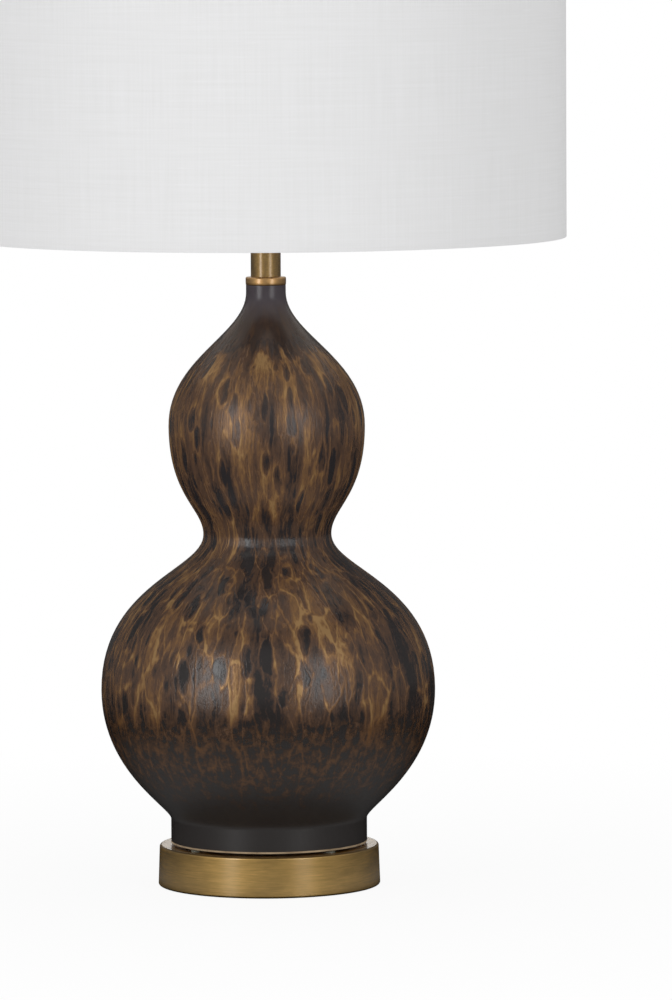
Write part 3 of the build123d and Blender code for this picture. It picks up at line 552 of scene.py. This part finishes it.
# %% Glaze
def glaze_material():
    """Satin black glaze with iron-brown runs."""
    made, tree, shader = new_material("stoneware_drip_glaze", IOR=1.6)
    flow = add(tree, "Attribute", attribute_name="flow").outputs["Vector"]
    place = add(tree, "TexCoord").outputs["Object"]
    height = add(tree, "SeparateXYZ", {0: place}).outputs["Z"]

    def along(wide, long, sway=None):
        """The flow coordinate measured in features that are this wide and long, in mm."""
        scaled = times(tree, flow, (1 / (wide * mm), 1 / (wide * mm), 1 / (long * mm)))
        if sway is None:
            return scaled
        return add(tree, "VectorMath", {0: sway, 1: (1.0, 1.0, 0.7), 2: scaled}, operation="MULTIPLY_ADD")

    def blend(value, low, high, to_low=0.0, to_high=1.0):
        """The remap of this material's own tree."""
        return remap(tree, value, low, high, to_low, to_high)

    def total(first, factor, second):
        """First times factor plus second."""
        return maths(tree, "MULTIPLY_ADD", first, factor, second)

    def less(first, amount):
        """First minus an amount."""
        return maths(tree, "SUBTRACT", first, amount)

    def both(first, second):
        """First times second."""
        return maths(tree, "MULTIPLY", first, second)

    def either(factor, first, second):
        """The first value where the factor is 0, the second where it is 1."""
        return add(tree, "Mix", {"Factor": factor, 2: first, 3: second}, data_type="FLOAT")

    def some(cells, low, high):
        """Chooses a part of the Voronoi cells by the random colour of each."""
        return blend(add(tree, "SeparateXYZ", {0: cells.outputs["Color"]}).outputs["X"], low, high)

    sway = noise_at(tree, along(14, 32), 3.0).outputs["Color"]
    sway = add(tree, "VectorMath", {0: sway, 1: (0.5, 0.5, 0.5)}, operation="SUBTRACT")
    wash = noise_at(tree, along(10.5, 88, sway), 6.0, 0.6)
    line = add(tree, "TexNoise", {"Vector": along(8.0, 70, sway), "Scale": 1.0, "Detail": 2.0, "W": 3.0,
                                  "Roughness": 0.5}, noise_dimensions="4D")
    thread = blend(maths(tree, "ABSOLUTE", less(line, 0.5)), 0.004, 0.034, 1.0, 0.0)
    net = add(tree, "TexVoronoi", {"Vector": along(9.0, 44, sway), "Scale": 1.0},
              feature="DISTANCE_TO_EDGE")
    vein = both(blend(net, 0.012, 0.070, 1.0, 0.0), blend(wash, 0.36, 0.52, 0.25, 1.0))
    cell = add(tree, "TexVoronoi", {"Vector": along(10.5, 31, sway), "Scale": 1.0})
    drop = ramp(tree, cell.outputs["Distance"], (0.20, "#000000"), (0.34, "#8A8A8A"),
                (0.42, "#E8E8E8"), (0.60, "#BCBCBC"))
    drop = either(some(cell, 0.40, 0.46), 0.5, drop)
    bead = add(tree, "TexVoronoi", {"Vector": along(5.8, 17, sway), "Scale": 1.0})
    speck = either(some(bead, 0.55, 0.60), 1.0, blend(bead.outputs["Distance"], 0.16, 0.34))
    grain = noise_at(tree, along(1.1, 3.4, sway), 3.0, 0.7)
    blotch = noise_at(tree, place, 6.0, 0.72, 1 / (6.5 * mm))
    cloud = noise_at(tree, along(34, 90), 1.0)
    hem = noise_at(tree, along(5.5, 300), 2.0)

    # how thick the brown glaze lies, from 0 to 1: on the two bellies, then in the belt
    brown = total(drop, 0.75, total(wash, 2.5, -1.25))
    brown = total(thread, 0.16, brown)
    brown = total(vein, blend(height, 0.225, 0.260, 0.34, 0.16), brown)
    brown = total(cloud, 0.9, less(brown, 0.45))
    brown = total(speck, 0.30, less(brown, 0.30))
    brown = total(grain, 0.55, less(brown, 0.29))
    lace = total(thread, 0.12, total(blotch, 1.7, -0.66))
    lace = total(vein, 0.20, lace)
    brown = either(blend(total(hem, 0.060, height), 0.146, 0.158), lace, brown)

    # where it lies: it stops above the foot and below the mouth, and its density drifts with height
    edge = total(blotch, 0.030, height)
    there = both(blend(edge, 0.074, 0.104), blend(total(hem, -0.030, height), 0.346, 0.358, 1.0, 0.0))
    dense = ramp(tree, blend(height, 0.05, 0.40), (0.15, "#6C6C6C"), (0.30, "#444444"),
                 (0.42, "#7C7C7C"), (0.53, "#343434"), (0.66, "#848484"), (0.82, "#9A9A9A"))
    brown = maths(tree, "ADD", brown, total(dense, 1.0, -0.20))
    brown = maths(tree, "MULTIPLY", brown, there, clamp=True)

    # colours: the black glaze under it, the brown one by its thickness, and the rusty belt
    # the top stop over the neck is lighter: partly the glaze's real purple-charcoal, partly painted light
    # that makes up for the shade's shadow and the sheen on the neck
    ground = ramp(tree, blend(height, 0.03, 0.41), (0.20, "#2A2523"), (0.75, "#2B2729"),
                  (0.86, "#423228"), (0.93, "#40312A"), (0.97, "#4C444A"))
    stain = both(blend(wash, 0.42, 0.70, 0.0, 0.55), blend(height, 0.30, 0.36))
    stain = both(stain, blend(height, 0.380, 0.400, 1.0, 0.0))
    ground = layer(tree, stain, ground, "#62462F")
    tone = ramp(tree, brown, (0.04, "#292426"), (0.22, "#47352A"), (0.44, "#5C4332"),
                (0.66, "#785739"), (0.82, "#966F46"), (1.00, "#B48E5E"))
    rust = ramp(tree, brown, (0.04, "#241E1B"), (0.20, "#3C2819"), (0.44, "#573A20"),
                (0.90, "#7C542D"))
    tone = layer(tree, blend(edge, 0.130, 0.146), rust, tone)
    plug(layer(tree, blend(brown, 0.0, 0.12), ground, tone), shader, "Base Color")
    plug(blend(brown, 0.35, 0.95, 0.0, 0.45), shader, "Metallic")
    gloss = blend(total(grain, -0.6, brown), -0.25, 0.4, 0.20, 0.30)
    plug(either(blend(height, 0.080, 0.125), 0.38, gloss), shader, "Roughness")
    emboss(shader, total(grain, 0.3, brown), 0.3, 0.7)
    return made


# %% [markdown]
# Where the pot stood on the kiln shelf its foot is wiped clean, so the bare clay shows as a thin
# pale line. Bare stoneware is matt, a little speckled, and light brown.

# %% Bare clay
def bare_clay():
    """Unglazed stoneware, with iron specks about a millimetre across."""
    made, tree, shader = new_material("stoneware_unglazed", Roughness=0.85)
    place = add(tree, "TexCoord").outputs["Object"]
    body = noise_at(tree, place, 4.0, scale=1 / (9 * mm))
    speck = add(tree, "TexVoronoi", {"Vector": place, "Scale": 1 / (3.5 * mm)})
    tone = ramp(tree, body, (0.3, "#9A8468"), (0.7, "#BFA98A"))
    tone = layer(tree, remap(tree, speck, 0.10, 0.18, 0.7), "#4A3A2C", tone)
    plug(tone, shader, "Base Color")
    emboss(shader, body, 0.2, 0.3)
    return made


glaze, clay = glaze_material(), bare_clay()
print("glaze nodes:", len(glaze.node_tree.nodes))

# %% [markdown]
# The gourd is one closed shell: the outer wall, the lip of the mouth, the inner wall, the floor
# with its hole, and the foot ring. The flow coordinate is written on its points. Runs merge on
# their way down, so there are fewer, wider ones on the belly than a plain angle would give: the
# radius counts only with a power below one.

# %% Gourd
foot_radius, foot_bottom = gourd_stations[0][:2]
inner_foot = foot_radius - gourd_wall
floor_bottom = foot_bottom + foot_recess
floor_top = floor_bottom + gourd_wall
clay_line, glazed_lip = 1.0, 2.0  # the wiped foot rim, and the glaze inside the mouth, in mm
flow_reference, flow_power = 80.0, 0.28

gourd_outline = [(r, h, 0.8 if place == 0 else 0) for place, (r, h) in enumerate(outer_wall)]
gourd_outline[-1] = (*outer_wall[-1], 0.8)
gourd_outline += [(mouth_radius, outer_wall[-1][1], 0.8)]
gourd_outline += [(r, h, 0) for r, h in reversed(inner_wall[:-1])]
gourd_outline += [(inner_foot, floor_top, 2), (floor_hole_radius, floor_top, 0),
                  (floor_hole_radius, floor_bottom, 0), (inner_foot, floor_bottom, 1),
                  (inner_foot, foot_bottom, 0.8)]
bm = turned(gourd_outline, fine_steps, segments=3)
run = bm.verts.layers.float["run"]
flow = bm.verts.layers.float_vector.new("flow")
for vertex in bm.verts:
    angle = atan2(vertex.co.y, vertex.co.x)
    radius = (vertex.co.x ** 2 + vertex.co.y ** 2) ** 0.5 / mm
    spread = flow_reference * (radius / flow_reference) ** flow_power * mm
    vertex[flow] = (cos(angle) * spread, sin(angle) * spread, vertex[run])
for face in bm.faces:
    middle = face.calc_center_median()
    outside = face.normal.dot(Vector((middle.x, middle.y, 0))) > 0
    outside = outside or middle.z > (outer_wall[-1][1] - glazed_lip) * mm
    face.material_index = 1 if middle.z < (foot_bottom + clay_line) * mm or not outside else 0
as_piece(bm, "gourd_glazed", [glaze, clay], "root", ["gourd_body"], crease=50,
         flat_faces=False)

# %% [markdown]
# ## Brass neck
# A turned collar sits on the mouth, a plain tube hides the threaded pipe between it and the
# parts under the shade, and a cap closes the tube. All three are drawn from the CAD boxes. The
# collar has two soft edges, which catch the light as two bright rings.

# %% Collar, tube and cap
collar_low, collar_high = (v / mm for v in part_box("neck_collar"))
tube_low, tube_high = (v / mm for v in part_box("neck_tube"))
cap_low, cap_high = (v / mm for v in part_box("tube_cap"))
pipe_bore, tube_wall, fitting_gap = 5.05, 0.9, 0.3
mouth_top = outer_wall[-1][1]
boss_radius = tube_high.x - tube_wall - fitting_gap

collar_outline = [
    (pipe_bore, collar_low.z), (mouth_radius - fitting_gap, collar_low.z),
    (mouth_radius - fitting_gap, mouth_top), (collar_high.x - 0.15, mouth_top, 0.55),
    (collar_high.x, mouth_top + 1.6, 0.5), (collar_high.x, tube_low.z, 1.1),
    (boss_radius, tube_low.z), (boss_radius, collar_high.z), (pipe_bore, collar_high.z),
]
tube_inner = tube_high.x - tube_wall
tube_outline = [(tube_inner, tube_low.z), (tube_high.x, tube_low.z, 0.2),
                (tube_high.x, tube_high.z, 0.2), (tube_inner, tube_high.z)]
cap_outline = [
    (pipe_bore, cap_low.z), (boss_radius, cap_low.z), (boss_radius, tube_high.z),
    (cap_high.x, tube_high.z, 0.3), (cap_high.x, cap_high.z, 0.7), (pipe_bore, cap_high.z),
]
for outline, name, brass, stands_for in (
        (collar_outline, "collar_turned", collar_brass, "neck_collar"),
        (tube_outline, "neck_tube_brushed", tube_brass_painted_darker, "neck_tube"),
        (cap_outline, "tube_cap_turned", antique_brass, "tube_cap")):
    as_piece(turned(outline, 128), name, brass, "root", [stands_for])

# %% [markdown]
# ## Linen for the shade
# The drum is white linen laminated to a stiff plastic sheet. Linen yarn is uneven: now and then
# a thick place, a slub, runs for a few centimetres. The weave lies flat on the drum, so it
# follows the cloth's own map, which has the distance round the drum in u and the height in v,
# both in metres. Real yarns are 0.6 mm apart, less than one pixel here; they are drawn 1.4 mm
# apart so that the cloth still reads as woven.

# %% Linen material
def linen_material():
    """Plain-woven white linen with slubs."""
    made, tree, shader = new_material("linen_woven_white", Roughness=0.92, Specular_IOR_Level=0.2,
                                      Sheen_Weight=0.06)
    cloth = add(tree, "UVMap", uv_map="cloth")
    yarn, yarn_drift, slub_width, slub_length = 1.4 * mm, 70 * mm, 1.8 * mm, 24 * mm
    warp = noise_at(tree, times(tree, cloth, (1 / yarn, 1 / yarn_drift, 0)))
    weft = noise_at(tree, times(tree, cloth, (1 / yarn_drift, 1 / yarn, 0)))
    slub = noise_at(tree, times(tree, cloth, (1 / slub_length, 1 / slub_width, 0)), 1.0)
    weave = maths(tree, "ADD", warp, weft)
    weave = maths(tree, "MULTIPLY_ADD", remap(tree, slub, 0.68, 0.80), 0.35, weave)
    tone = ramp(tree, maths(tree, "MULTIPLY", weave, 0.5), (0.25, "#F0F0F0"), (0.75, "#F8F8F9"))
    plug(tone, shader, "Base Color")
    emboss(shader, weave, 0.12, 0.35)
    return made


linen = linen_material()
print("linen nodes:", len(linen.node_tree.nodes))

# %% [markdown]
# The cloth is cut as one strip, wrapped round the liner with a lapped seam at the back, and
# turned in over the two wire hoops. It is swept as a thin closed skin, so both faces of the
# turned-in hems exist. The drum isn't perfectly true: its wall wavers by a tenth of a millimetre.

# %% Shade linen
linen_low, linen_high = (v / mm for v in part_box("shade_linen"))
cloth_thickness, liner_thickness, ring_wire = 0.5, 0.8, 3.0
hem_return = 9.0
seam_width = 11.0
drum_radius = linen_high.x
ring_inner = drum_radius - cloth_thickness - liner_thickness - ring_wire
skin_inner = drum_radius - cloth_thickness
wall_rows = 28
unevenness = 0.12


def unroll(bm, radius):
    """Writes a map in metres: distance round the drum from the front, and run along the outline."""
    run = bm.verts.layers.float["run"]
    sheet_map = bm.loops.layers.uv.new("cloth")
    for face in bm.faces:
        middle = face.calc_center_median()
        face_turn = atan2(middle.x, -middle.y)
        for corner in face.loops:
            turn = atan2(corner.vert.co.x, -corner.vert.co.y)
            turn += 2 * pi * round((face_turn - turn) / (2 * pi))
            corner[sheet_map].uv = (turn * radius * mm, corner.vert[run])


linen_height = linen_high.z - linen_low.z
wall_heights = [linen_low.z + linen_height * row / wall_rows for row in range(wall_rows + 1)]
linen_outline = [(drum_radius, wall_heights[0], 0.25)]
linen_outline += [(drum_radius, height, 0) for height in wall_heights[1:-1]]
linen_outline += [
    (drum_radius, linen_high.z, 0.25), (ring_inner - cloth_thickness, linen_high.z, 0.25),
    (ring_inner - cloth_thickness, linen_high.z - hem_return), (ring_inner, linen_high.z - hem_return),
    (ring_inner, linen_high.z - cloth_thickness), (skin_inner, linen_high.z - cloth_thickness),
    (skin_inner, linen_low.z + cloth_thickness), (ring_inner, linen_low.z + cloth_thickness),
    (ring_inner, linen_low.z + hem_return), (ring_inner - cloth_thickness, linen_low.z + hem_return),
    (ring_inner - cloth_thickness, linen_low.z, 0.25),
]
bm = turned(linen_outline, fine_steps, segments=2)
unroll(bm, drum_radius)
for vertex in bm.verts:
    reach = (vertex.co.x ** 2 + vertex.co.y ** 2) ** 0.5
    if reach > (skin_inner + 0.1) * mm:
        swell = noise.noise(vertex.co * 14.0) * unevenness * mm
        vertex.co.x -= vertex.co.x / reach * abs(swell)
        vertex.co.y -= vertex.co.y / reach * abs(swell)
shade_cloth = as_piece(bm, "shade_cloth", linen, "shade", ["shade_linen"], crease=60,
                       flat_faces=False)

# %% Lapped seam at the back
seam_half = seam_width / 2 / drum_radius
seam_lift, seam_inset, seam_thickness = 0.05, 0.4, 0.35
bm = bmesh.new()
run = bm.verts.layers.float.new("run")
strip = [bm.verts.new((0, (drum_radius + seam_lift) * mm, height * mm))
         for height in (linen_low.z + seam_inset, linen_high.z - seam_inset)]
for vertex in strip:
    vertex[run] = vertex.co.z
bm.edges.new(strip)
bmesh.ops.rotate(bm, verts=strip, cent=(0, 0, 0), matrix=Matrix.Rotation(-seam_half, 3, "Z"))
spin(bm, bm.verts[:] + bm.edges[:], 2 * seam_half, 6)
bmesh.ops.recalc_face_normals(bm, faces=bm.faces)
if bm.faces[:][0].normal.y < 0:
    bmesh.ops.reverse_faces(bm, faces=bm.faces)
unroll(bm, drum_radius)
bmesh.ops.solidify(bm, geom=bm.faces[:], thickness=-seam_thickness * mm)
bmesh.ops.recalc_face_normals(bm, faces=bm.faces)
seam = as_piece(bm, "shade_seam", linen, "shade", crease=40)

# %% [markdown]
# ## Finishes of the small fittings
# Under the shade and inside the base there are plated, painted, moulded and cast pieces. Each
# real finish has its own colour, gloss and grain, but they are built alike: one noise of the
# right size makes the colour drift between two close tones, moves the gloss a little, and
# raises the surface where the real one is uneven. Sizes and reliefs are in millimetres.

# %% Fitting finishes
def finish(name, colour, shade, roughness, grain, relief=0.0, spread=0.06, **inputs):
    """A finish whose colour, gloss and relief drift with one noise; grain is its size in mm."""
    made, tree, shader = new_material(name, **inputs)
    place = add(tree, "TexCoord").outputs["Object"]
    drift = noise_at(tree, place, 5.0, 0.62, 1 / (grain * mm))
    tone = ramp(tree, drift, (0.3, shade), (0.7, colour))
    plug(tone, shader, "Base Color")
    plug(remap(tree, drift, 0.3, 0.7, roughness + spread, roughness - spread), shader, "Roughness")
    if relief:
        emboss(shader, drift, relief)
    return made


# black foam rubber with open cells
foam = finish("foam_rubber_black", "#34322F", "#232120", 0.9, 0.9, relief=0.15)
# pressed wood fibre, smooth on one side
hardboard = finish("hardboard_pressed", "#8F6F4B", "#6C5138", 0.85, 1.6, relief=0.08)
# sand-cast iron under a dip of black paint
cast_iron = finish("iron_cast_black", "#3B3937", "#242221", 0.62, 2.2, relief=0.35)
# zinc plating has a faint blue cast and clouds
zinc = finish("steel_zinc_plated", "#C4C9CE", "#9AA1A8", 0.38, 3.0, Metallic=1.0)
# brass plating on the harp's drawn wire and strip, paler than solid brass
plated_wire = finish("steel_brass_plated", "#DCC998", "#CFBA86", 0.26, 6.0, spread=0.03, Metallic=1.0)
# thin drawn brass of the lampholder, dipped bright and lacquered
bright_brass = finish("brass_drawn_bright", "#EBC67C", "#DDB569", 0.22, 7.0, spread=0.04, Metallic=1.0,
                      Coat_Weight=0.4)
# moulded nylon bushing
nylon = finish("nylon_moulded_black", "#2A2724", "#1D1B19", 0.42, 3.0, relief=0.03)
# cast clear polyurethane, a little hazy
bumper = finish("polyurethane_clear", "#C9C8B4", "#BDBCA9", 0.22, 2.5, Transmission_Weight=0.8, IOR=1.49)
# vulcanised fibre paper
fibre_paper = finish("fibre_paper_grey", "#71685C", "#554D44", 0.88, 1.2, relief=0.06)
# moulded phenolic, black with a flow pattern
phenolic = finish("phenolic_moulded_black", "#211C19", "#110F0E", 0.28, 4.0, relief=0.02)
# rolled aluminium of the screw cap and screw shell
aluminium = finish("aluminium_rolled", "#DADCDE", "#B3B7BB", 0.33, 2.0, relief=0.02, Metallic=1.0)
# a drop of tin solder
solder = finish("solder_tin", "#CBCCCD", "#8D9194", 0.36, 1.4, relief=0.15, Metallic=1.0)
# black glass under the screw cap
black_glass = finish("glass_black", "#121214", "#070708", 0.10, 3.0)
# bulb glass with a white powder inside
soft_white = finish("glass_soft_white", "#FCFBF8", "#F9F8F5", 0.24, 25.0, spread=0.02,
                    Subsurface_Weight=0.25, Subsurface_Scale=0.002)
# extruded styrene sheet behind the linen
styrene = finish("styrene_sheet_white", "#F6F5F2", "#F2F1ED", 0.48, 6.0, relief=0.01)
# white powder coat on wire, with the fine dimples of an orange skin
powder_coat = finish("powder_coat_white", "#F3F3F0", "#ECECE8", 0.36, 1.3, relief=0.012, Coat_Weight=0.3)
print("materials made:", len(bpy.data.materials))

# %% [markdown]
# The lamp pipe is threaded over its whole length, 27 turns to the inch. On a part that hides
# inside the lamp a thread can be relief alone: a wave that climbs one pitch for each turn is
# the height along the pipe, in pitches, plus the angle round it, in turns.

# %% Pipe thread
thread_pitch = 25.4 / 27
pipe_finish = zinc.copy()
pipe_finish.name = "steel_zinc_threaded"
tree = pipe_finish.node_tree
spot = add(tree, "SeparateXYZ", {0: add(tree, "TexCoord").outputs["Object"]})
around = maths(tree, "ARCTAN2", spot.outputs["Y"], spot.outputs["X"])
climb = maths(tree, "MULTIPLY_ADD", spot.outputs["Z"], 2 * pi / (thread_pitch * mm), around)
emboss(tree.nodes["Principled BSDF"], maths(tree, "SINE", climb), 0.25)

for node_name, node_finish in {
    "base_cover": hardboard, "base_weight": cast_iron, "cord_grommet": nylon,
    "threaded_pipe": pipe_finish, "pipe_nut": zinc, "lock_washer": zinc, "plate_washer": zinc,
    "harp_saddle": plated_wire, "harp": plated_wire, "saddle_nut": bright_brass,
    "harp_sleeve_front": bright_brass, "harp_sleeve_rear": bright_brass,
    "socket_cap": bright_brass, "cap_set_screw": zinc, "socket_shell": bright_brass,
    "socket_liner": fibre_paper, "socket_core": phenolic, "terminal_screws": bright_brass,
    "screw_shell": aluminium, "centre_contact": bright_brass, "switch_spindle": bright_brass,
    "switch_knob": phenolic, "bulb_eyelet": solder, "bulb_insulator": black_glass,
    "bulb_glass": soft_white, "shade_liner": styrene, "shade_top_ring": powder_coat,
    "shade_bottom_ring": powder_coat, "spider_arms": powder_coat, "spider_washer": powder_coat,
}.items():
    nodes[node_name].data.materials[0] = node_finish

# %% [markdown]
# ## Foot pads under the gourd
# Four clear bumpers keep the rough foot off the brass. Each is a low dome, made by turning, then
# moved to its place on the circle that the CAD piece uses. Several turned bodies are joined
# into one piece, since they are one bag of the same part.

# %% Bumpers
pads_low, pads_high = (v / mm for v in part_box("foot_pads"))
bumper_radius, bumper_circle, bumper_turn = 4.0, 63.6, 39.5


def joined(parts):
    """Joins several bmeshes into the first one."""
    whole = parts[0]
    for part in parts[1:]:
        carrier = bpy.data.meshes.new("carrier")
        part.to_mesh(carrier)
        part.free()
        whole.from_mesh(carrier)
        bpy.data.meshes.remove(carrier)
    return whole


bumpers = []
for place in range(4):
    angle = radians(bumper_turn + 90 * place)
    dome = turned([(0, pads_low.z), (bumper_radius, pads_low.z, 0.15),
                   (bumper_radius - 0.2, pads_high.z - 0.7, 0.3), (bumper_radius - 1.3, pads_high.z, 0.5),
                   (0, pads_high.z)], 40, closed=False)
    shift = Vector((cos(angle), sin(angle), 0)) * bumper_circle * mm
    bmesh.ops.translate(dome, verts=dome.verts, vec=shift)
    bumpers.append(dome)
as_piece(joined(bumpers), "bumpers_clear", bumper, "root", ["foot_pads"])

# %% [markdown]
# ## Foam pad under the base
# The lamp stands on a thin disc of foam rubber glued to the hardboard. It is cut a little round
# at its edge and its surface isn't quite flat.

# %% Foam pad
pad_low, pad_high = (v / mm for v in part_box("base_pad"))
pad_rings, pad_unevenness = 12, 0.15
pad_radii = [pad_high.x * step / pad_rings for step in range(pad_rings + 1)]
pad_outline = [(radius, pad_low.z, 0) for radius in pad_radii[:-1]]
pad_outline += [(pad_high.x, pad_low.z, 0.7), (pad_high.x, pad_high.z, 0.5)]
pad_outline += [(radius, pad_high.z, 0) for radius in reversed(pad_radii[:-1])]
bm = turned(pad_outline, 128, closed=False)
for vertex in bm.verts:
    if vertex.co.z < 0.5 * mm:
        vertex.co.z += abs(noise.noise(vertex.co * 60.0)) * pad_unevenness * mm
pad = as_piece(bm, "foam_pad", foam, "root", ["base_pad"])

# %% [markdown]
# ## Threads that can be seen
# Lift the shade and the swivel stud shows its thread; look under it and the bulb's screw cap
# does. A real thread is one ridge that winds up: its section is spun round the axis while it
# climbs by one pitch in each turn. The open ends are filled, so that the ridge is closed.

# %% Helper for threads
def wind_thread(bm, root, crest, low, high, pitch, steps=40):
    """Adds a ridge that winds from low to high, with a rounded triangle for its section."""
    turns = (high - low) / pitch - 1
    rise = (0.0, 0.25, 0.5, 0.75, 1.0)
    flank = root + (crest - root) * 0.62
    reach = (root - 0.05, flank, crest, flank, root - 0.05)
    section = [bm.verts.new((r * mm, 0, (low + up * pitch) * mm)) for r, up in zip(reach, rise)]
    section.append(bm.verts.new(((root - 0.4) * mm, 0, (low + 0.5 * pitch) * mm)))
    edges = [bm.edges.new(pair) for pair in zip(section, section[1:] + section[:1])]
    before = set(bm.faces)
    spin(bm, section + edges, 2 * pi * turns, round(steps * turns), climb=pitch * mm / steps)
    grown = [face for face in bm.faces if face not in before]
    rims = [edge for edge in {edge for face in grown for edge in face.edges} if edge.is_boundary]
    bmesh.ops.holes_fill(bm, edges=rims, sides=0)
    bmesh.ops.recalc_face_normals(bm, faces=bm.faces)


# %% Swivel stud
seat_face = 706.5
stud_low, stud_high = (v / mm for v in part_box("harp_stud"))
stud_head, stud_shank, stud_seat, stud_post, stud_plate = 3.6, 2.0, 9.5, 3.1, 1.5
stud_root = stud_post - 0.4
stud_outline = [
    (0, stud_low.z), (stud_head, stud_low.z, 0.7), (stud_head, stud_low.z + stud_plate),
    (stud_shank, stud_low.z + stud_plate), (stud_shank, seat_face - stud_plate),
    (stud_seat, seat_face - stud_plate, 0.15), (stud_seat, seat_face, 0.5), (stud_root, seat_face),
    (stud_root, stud_high.z, 0.6), (0, stud_high.z),
]
bm = turned(stud_outline, 72, closed=False)
wind_thread(bm, stud_root, stud_post, seat_face + 0.6, stud_high.z - 0.4, thread_pitch)
as_piece(bm, "stud_threaded", plated_wire, "seat", ["harp_stud"])

# %% Screw cap of the bulb
screw_low, screw_high = (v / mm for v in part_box("bulb_cap"))
cap_crest = screw_high.x
cap_root = cap_crest - 0.75
cap_bore, cap_floor, bulb_pitch = cap_crest - 0.4, screw_low.z + 3, 25.4 / 7
screw_outline = [
    (0, screw_low.z), (cap_crest - 1.5, screw_low.z, 0.5), (cap_root, screw_low.z + 1.6, 0.5),
    (cap_root, screw_high.z - 4.2, 0.6), (cap_crest, screw_high.z - 3.4, 0.5),
    (cap_crest, screw_high.z, 0.2), (cap_bore, screw_high.z), (cap_bore, cap_floor), (0, cap_floor),
]
bm = turned(screw_outline, 96, closed=False)
wind_thread(bm, cap_root, cap_crest, screw_low.z + 1.6, screw_high.z - 3.8, bulb_pitch, steps=64)
as_piece(bm, "bulb_cap_threaded", aluminium, "bulb", ["bulb_cap"])

# %% [markdown]
# ## Finial
# The finial is turned from brass rod: a foot, a slim neck with a cove, and a ball with a small
# flat on top. It screws down on the stud and holds the shade.

# %% Finial
finial_low, finial_high = (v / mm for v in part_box("finial"))
finial_foot, finial_foot_height, finial_neck, finial_ball, finial_bore = 8.0, 2.6, 4.6, 9.5, 3.15
finial_bore_top = finial_low.z + 13.5
ball_middle = finial_high.z - finial_ball
ball_points = [(finial_ball * cos(radians(degrees)), ball_middle + finial_ball * sin(radians(degrees)), 0)
               for degrees in range(-58, 88, 6)]
foot_top_height = finial_low.z + finial_foot_height
finial_outline = [
    (finial_bore, finial_low.z), (finial_foot, finial_low.z, 0.3), (finial_foot, foot_top_height, 0.87),
    (finial_neck + 1.0, foot_top_height, 0.3), (finial_neck, foot_top_height + 1.1, 0.6),
    *ball_points, (0, finial_high.z, 0), (0, finial_bore_top, 0), (finial_bore, finial_bore_top, 0),
]
bm = outline_mesh(finial_outline)
axis_edges = [edge for edge in bm.edges if all(abs(v.co.x) < 1e-7 for v in edge.verts)]
bmesh.ops.delete(bm, geom=axis_edges, context="EDGES")
sweep_round(bm, 96)
mark_lathe(bm)
as_piece(bm, "finial_turned", collar_brass, "finial", ["finial"])
